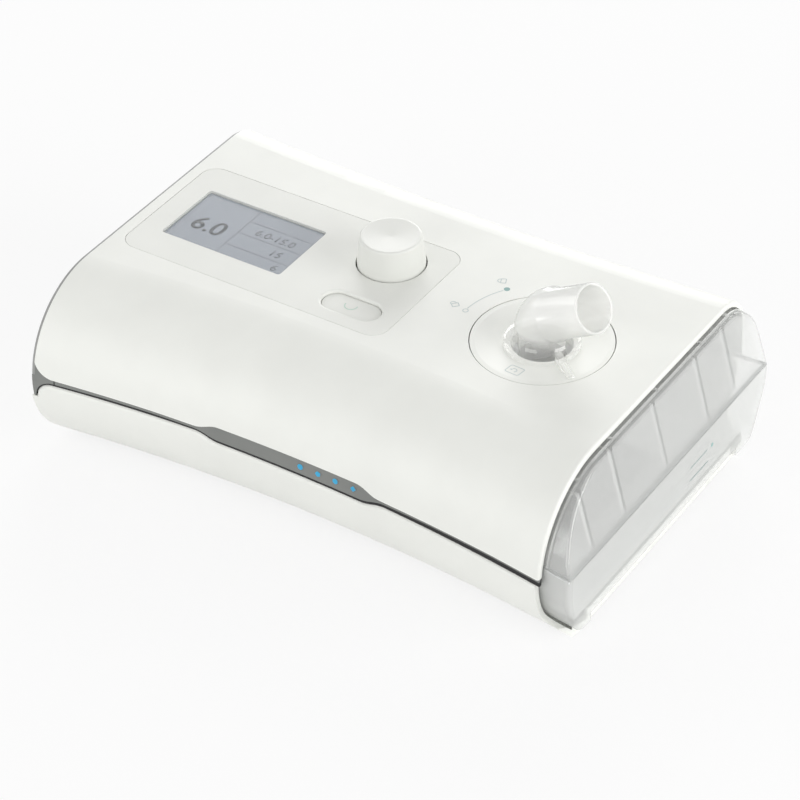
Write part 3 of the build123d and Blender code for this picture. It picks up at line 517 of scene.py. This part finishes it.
def makeFin(o):
    f = o["fin"]
    piece = startPiece(bpy.ops.mesh.primitive_cube_add, size=1.0)
    piece.scale = ((f["to"] - f["from"]) * mm, f["thick"] * mm, (f["inner"] - f["low"]) * mm)
    middle = Vector(((f["from"] + f["to"]) / 2, 0, (f["inner"] + f["low"]) / 2))
    piece.location = middle * mm
    applyPlace(piece)
    editPiece(piece)
    selectEdges(piece, lambda co: co.x > middle.x and co.z > middle.z)
    bpy.ops.transform.translate(value=(0, 0, (f["outer"] - f["inner"]) * mm))
    bpy.ops.mesh.select_all(action="SELECT")
    bpy.ops.mesh.bevel(offset=f["edge"] * mm, segments=f["edgeSteps"], affect="EDGES")
    bpy.ops.object.mode_set(mode="OBJECT")
    piece.rotation_euler = (0, 0, math.radians(f["turn"]))
    piece.location = Vector((*o["center"], 0)) * mm
    applyPlace(piece)
    return piece


def makeOutlet(o):
    cx, cy = o["center"]
    radius, z = o["upright"]
    start = z
    piece = startPiece(bpy.ops.mesh.primitive_circle_add, vertices=o["points"], radius=radius * mm,
                       fill_type="NOTHING", location=Vector((cx, cy, start)) * mm)
    applyPlace(piece)
    editPiece(piece)
    bpy.ops.mesh.select_all(action="SELECT")
    bendOver(o, start, radius, o["mouth"][0])
    reach = radius + touching
    selectEdges(piece, lambda co: abs(co.z - start) < touching and math.hypot(co.x - cx, co.y - cy) < reach)
    for ring, height in o["foot"]:
        nextRing((0, 0, height - z), ring / radius, (cx, cy, height))
        radius, z = ring, height
    nextRing((0, 0, start - z))
    bendOver(o, start, o["bore"], o["mouth"][1])
    bpy.ops.mesh.select_all(action="SELECT")
    bpy.ops.mesh.remove_doubles(threshold=touching / 10 * mm)
    bpy.ops.mesh.select_all(action="DESELECT")
    bpy.ops.mesh.select_non_manifold(extend=False)
    bpy.ops.mesh.bridge_edge_loops()
    bpy.ops.mesh.select_all(action="SELECT")
    bpy.ops.mesh.normals_make_consistent(inside=False)
    bpy.ops.object.mode_set(mode="OBJECT")
    piece = joinPieces([piece, makeFin(o)], "outlet_tube")
    bpy.ops.object.shade_smooth_by_angle(angle=math.radians(o["smoothAngle"]))
    giveFinish(piece, thickCarbonate)
    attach(piece, "outlet")
    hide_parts("outlet_elbow")


makeOutlet(outlet)
print("outlet modelled")

# dark segments and thinner grey lines of the display, flat with hardly any gloss
darkInk = mouldedPlastic("dark display segments", "#44484C", "#4B4F53", 0.4, 0.5, 0.001, 1.5)
lineInk = mouldedPlastic("grey display lines", "#6C7176", "#73787D", 0.4, 0.5, 0.001, 1.5)
# pad printed ink: matt and thin, with a hint of uneven cover
tealInk = mouldedPlastic("teal pad printed ink", "#86A7A4", "#8FAFAC", 0.55, 0.4, 0.002, 1.5)
paleInk = mouldedPlastic("pale grey pad printed ink", "#B9C4C4", "#C3CCCC", 0.55, 0.4, 0.002, 1.5)
mintInk = mouldedPlastic("mint pad printed ink", "#BFD3C8", "#C8DACF", 0.55, 0.4, 0.002, 1.5)
levelInk = mouldedPlastic("grey green pad printed ink", "#6F8583", "#798F8D", 0.55, 0.4, 0.002, 1.5)
# clear bright blue of the icons on the smoked lenses
blueInk = mouldedPlastic("blue light icon", "#2F9FCB", "#37A9D6", 0.3, 0.4, 0.001, 1.5)

# figures and rules on the display, drawn just above its glass
display = {
    "box": (-117.2, -54.2, -13.2, 23.6),
    "glassZ": 78.9,
    "divide": 0.45,
    "rows": (0.25, 0.51, 0.78),
    "line": 0.45,
    "big": ("6.0", 9.6, 0.227, 0.60),
    "small": [("6.0-15.0", 4.4, 0.726, 0.40), ("15", 4.4, 0.83, 0.66), ("6", 4.4, 0.914, 0.90)],
    "lean": 0.05,
    "weight": (0.18, 0.06),     # how much the strokes of the large and small figures are thickened
    "margin": 0.3,              # from the end of a rule to the edge of the glass
    "lift": 0.01,
}


# from shares of the display's width and height, counted from its top left corner
def onDisplay(d, u, v):
    x0, x1, y0, y1 = d["box"]
    return (x0 + (x1 - x0) * u, y1 - (y1 - y0) * v, d["glassZ"] + d["lift"])


def makeDisplay(d):
    text, height, u, v = d["big"]
    big = numberSheet(text, height, onDisplay(d, u, v), d["lean"], d["weight"][0])
    finishMark([big], "display_value", darkInk, "casing")
    small = [numberSheet(text, height, onDisplay(d, u, v), d["lean"], d["weight"][1])
             for text, height, u, v in d["small"]]
    finishMark(small, "display_readings", lineInk, "casing")
    x0, x1, y0, y1 = d["box"]
    middle = x0 + (x1 - x0) * d["divide"]
    z = d["glassZ"] + d["lift"]
    gap = 2 * d["margin"]
    rules = [barSheet((middle, (y0 + y1) / 2, z), (d["line"], y1 - y0 - gap))]
    for v in d["rows"]:
        y = onDisplay(d, 0, v)[1]
        rules.append(barSheet(((middle + x1) / 2, y, z), (x1 - middle - gap, d["line"])))
    finishMark(rules, "display_rules", lineInk, "casing")


makeDisplay(display)
print("display drawn")

# marks on the casing's flat top that show how far the outlet turns
turnMarks = {
    "center": (68.6, 6.1),
    "radius": 39.1,
    "from": 146.5,
    "to": 176.5,
    "line": 0.35,
    "dot": 1.35,
    "filled": (36.85, 29.26),
    "hollow": (29.71, 6.75),
    # place of each padlock and the way its shackle points
    "closed": (31.6, 33.3, 203.0),
    "open": (23.1, 8.6, 137.0),
    "z": 80.5,
}

# a padlock is measured along the way its shackle points
padlock = {
    "body": (2.6, 3.4),
    "corner": 0.4,
    "line": 0.35,
    "back": 0.9,                # from the mark's place back to the middle of the body
    "hinge": 0.4,               # and forward to the middle of the shackle's bow
    "bow": 1.25,
    "sweep": 180,
    "aside": 0.5,               # how far an open shackle stands to one side
}


def padlockSheets(mark, z, opened, p):
    x, y, turn = mark
    way = Vector((math.cos(math.radians(turn)), math.sin(math.radians(turn)), 0))
    side = Vector((-way.y, way.x, 0))
    place = Vector((x, y, z))
    sheets = [frameSheet(place - way * p["back"], p["body"], p["corner"], p["line"], turn)]
    hinge = place + way * p["hinge"] + (side * p["aside"] if opened else Vector())
    sheets.append(arcSheet(hinge, p["bow"], p["line"], turn - p["sweep"] / 2, p["sweep"]))
    return sheets


def makeTurnMarks(m):
    arc = arcSheet((*m["center"], m["z"]), m["radius"], m["line"], m["from"], m["to"] - m["from"])
    ring = dotSheet((*m["hollow"], m["z"]), m["dot"], hole=m["dot"] - m["line"])
    finishMark([arc, ring], "turn_arc", paleInk, "casing", "upper_shell")
    dot = dotSheet((*m["filled"], m["z"]), m["dot"])
    finishMark([dot], "locked_dot", tealInk, "casing", "upper_shell")
    locks = padlockSheets(m["closed"], m["z"], False, padlock)
    locks += padlockSheets(m["open"], m["z"], True, padlock)
    finishMark(locks, "padlock_marks", paleInk, "casing", "upper_shell")


makeTurnMarks(turnMarks)
print("turn marks printed")

# icon on the front of the disc: an arrow bent inside a rounded square
discIcon = {
    "center": (69.0, -17.1),
    "size": (7.0, 6.2),
    "corner": 1.0,
    "line": 0.35,
    "turn": -3.0,
    "z": 80.5,
    "bow": {"from": (-0.3, -0.2), "radius": 1.3, "start": -60, "sweep": 200},
    "head": {"from": (-1.55, -0.2), "radius": 0.75, "points": 3, "turn": 200},
}


def makeDiscIcon(d):
    x, y = d["center"]
    bow, head = d["bow"], d["head"]
    bowPlace = (x + bow["from"][0], y + bow["from"][1], d["z"])
    headPlace = (x + head["from"][0], y + head["from"][1], d["z"])
    sheets = [frameSheet((x, y, d["z"]), d["size"], d["corner"], d["line"], d["turn"]),
              arcSheet(bowPlace, bow["radius"], d["line"], bow["start"], bow["sweep"]),
              dotSheet(headPlace, head["radius"], head["points"], head["turn"])]
    finishMark(sheets, "disc_icon", paleInk, "outlet", "outlet_disc")


makeDiscIcon(discIcon)

# small smile printed in the middle of the button
buttonMark = {"center": (-15.4, -14.3), "radius": 2.9, "line": 0.55, "from": 175.0, "sweep": 200.0, "z": 79.8}


def makeButtonMark(m):
    arc = arcSheet((*m["center"], m["z"]), m["radius"], m["line"], m["from"], m["sweep"])
    finishMark([arc], "button_mark", mintInk, "button", "confirm_button")


makeButtonMark(buttonMark)

# one small blue icon over each light: its place along the strip, its number of corners and its turn
lightIcons = {
    "icons": [(0.9, 8, 0.0), (10.0, 5, 90.0), (18.9, 6, 0.0), (28.1, 4, 0.0)],
    "z": 41.2,
    "frontY": -84.0,
    "size": 1.45,
    "corner": 0.3,
    "cornerSteps": 3,
    "lift": 0.03,
    "ink": 0.04,
}


def makeLightIcons(m):
    sheets = []
    for x, points, turn in m["icons"]:
        piece = dotSheet((0, 0, 0), m["size"], points, turn)
        editPiece(piece)
        bpy.ops.mesh.select_all(action="SELECT")
        bpy.ops.mesh.bevel(offset=m["corner"] * mm, segments=m["cornerSteps"], affect="VERTICES")
        bpy.ops.object.mode_set(mode="OBJECT")
        piece.rotation_euler = (math.radians(90), 0, 0)
        piece.location = (x * mm, m["frontY"] * mm, m["z"] * mm)
        applyPlace(piece)
        sheets.append(piece)
    finishMark(sheets, "light_icons", blueInk, "casing", "indicator_lights", "Y", m["lift"], m["ink"])


makeLightIcons(lightIcons)

# lines on the tank's outer face that show how high the water may stand
levelMarks = {
    "x": 138.0,
    "lines": [(15.0, 30.0, 32.2), (15.3, 31.4, 25.2)],  # from y, to y, height
    "line": 0.5,
    "drop": (34.6, 32.0),
    "dropRadius": 1.1,
    "dropPoints": 12,
    "lift": 0.01,
    "ink": 0.02,
}


# stands a flat sheet up against the tank's outer face
def standUp(piece, x, y, z):
    piece.rotation_euler = (math.radians(90), 0, math.radians(90))
    piece.location = Vector((x, y, z)) * mm
    applyPlace(piece)
    return piece


def makeLevelMarks(m):
    lines = [standUp(barSheet((0, 0, 0), (y1 - y0, m["line"])), m["x"], (y0 + y1) / 2, z)
             for y0, y1, z in m["lines"]]
    finishMark(lines, "level_lines", levelInk, "tank", "tank_tub", "X", m["lift"], m["ink"])
    drop = standUp(dotSheet((0, 0, 0), m["dropRadius"], m["dropPoints"]), m["x"], *m["drop"])
    finishMark([drop], "level_drop", tealInk, "tank", "tank_tub", "X", m["lift"], m["ink"])


makeLevelMarks(levelMarks)
print("small marks printed")

# floor, surroundings and lamps: metres and watts
room = {
    "floorSize": 8.0,
    "floorColour": "#F4F4F4",
    "floorWhite": 0.78,         # share of the floor that shows plain white to the camera
    "worldStrength": 0.54,
    "lamps": [
        # name, place, aim, size, watts
        ("rear softbox", (-0.9, 1.9, 0.75), (0.0, 0.0, 0.05), 1.5, 22.0),
        ("front softbox", (-0.3, -1.8, 0.5), (0.0, 0.0, 0.05), 1.5, 15.5),
        ("left softbox", (-1.7, -0.2, 0.8), (0.0, 0.0, 0.05), 1.0, 4.0),
        ("right softbox", (1.7, 0.2, 0.5), (0.0, 0.0, 0.05), 1.3, 23.0),
    ],
}


# 1 where the eye meets it, straight on or through gloss and glass, and 0 where it only lights the object
def seenDirectly(owner):
    path = addNode(owner, "LightPath")
    seen = path.outputs["Is Camera Ray"]
    for ray in ("Is Glossy Ray", "Is Transmission Ray"):
        seen = addNode(owner, "Math", {"operation": "MAXIMUM"}, {0: seen, 1: path.outputs[ray]}).outputs[0]
    return seen


def makeFloor(r):
    floor = startPiece(bpy.ops.mesh.primitive_plane_add, size=r["floorSize"], location=(0, 0, 0))
    floor.name = "floor"
    material = newMaterial("plain pale floor")
    diffuse = addNode(material, "BsdfDiffuse", {}, {"Color": hexToLinear(r["floorColour"])})
    glow = addNode(material, "Emission", {}, {"Color": hexToLinear("#FFFFFF"), "Strength": 1.0})
    seen = seenDirectly(material)
    share = addNode(material, "Math", {"operation": "MULTIPLY"}, {0: seen, 1: r["floorWhite"]}).outputs[0]
    both = addNode(material, "MixShader", {}, {"Fac": share, 1: diffuse.outputs[0], 2: glow.outputs[0]})
    addNode(material, "OutputMaterial", {}, {"Surface": both.outputs[0]})
    floor.data.materials.append(material)


def makeWorld(r):
    world = bpy.data.worlds.new("studio")
    bpy.context.scene.world = world
    world.use_nodes = True
    world.node_tree.nodes.clear()
    sky = addNode(world, "Background", {}, {"Color": hexToLinear("#FFFFFF"), "Strength": r["worldStrength"]})
    white = addNode(world, "Background", {}, {"Color": hexToLinear("#FFFFFF"), "Strength": 1.0})
    seen = seenDirectly(world)
    both = addNode(world, "MixShader", {}, {"Fac": seen, 1: sky.outputs[0], 2: white.outputs[0]})
    addNode(world, "OutputWorld", {}, {"Surface": both.outputs[0]})


def makeLamps(r):
    for name, place, aim, size, watts in r["lamps"]:
        data = bpy.data.lights.new(name, "AREA")
        data.shape = "SQUARE"
        data.size = size
        data.energy = watts
        lamp = bpy.data.objects.new(name, data)
        bpy.context.scene.collection.objects.link(lamp)
        lamp.location = place
        lamp.rotation_euler = (Vector(place) - Vector(aim)).to_track_quat("Z", "Y").to_euler()


makeFloor(room)
makeWorld(room)
makeLamps(room)
print("room lit")
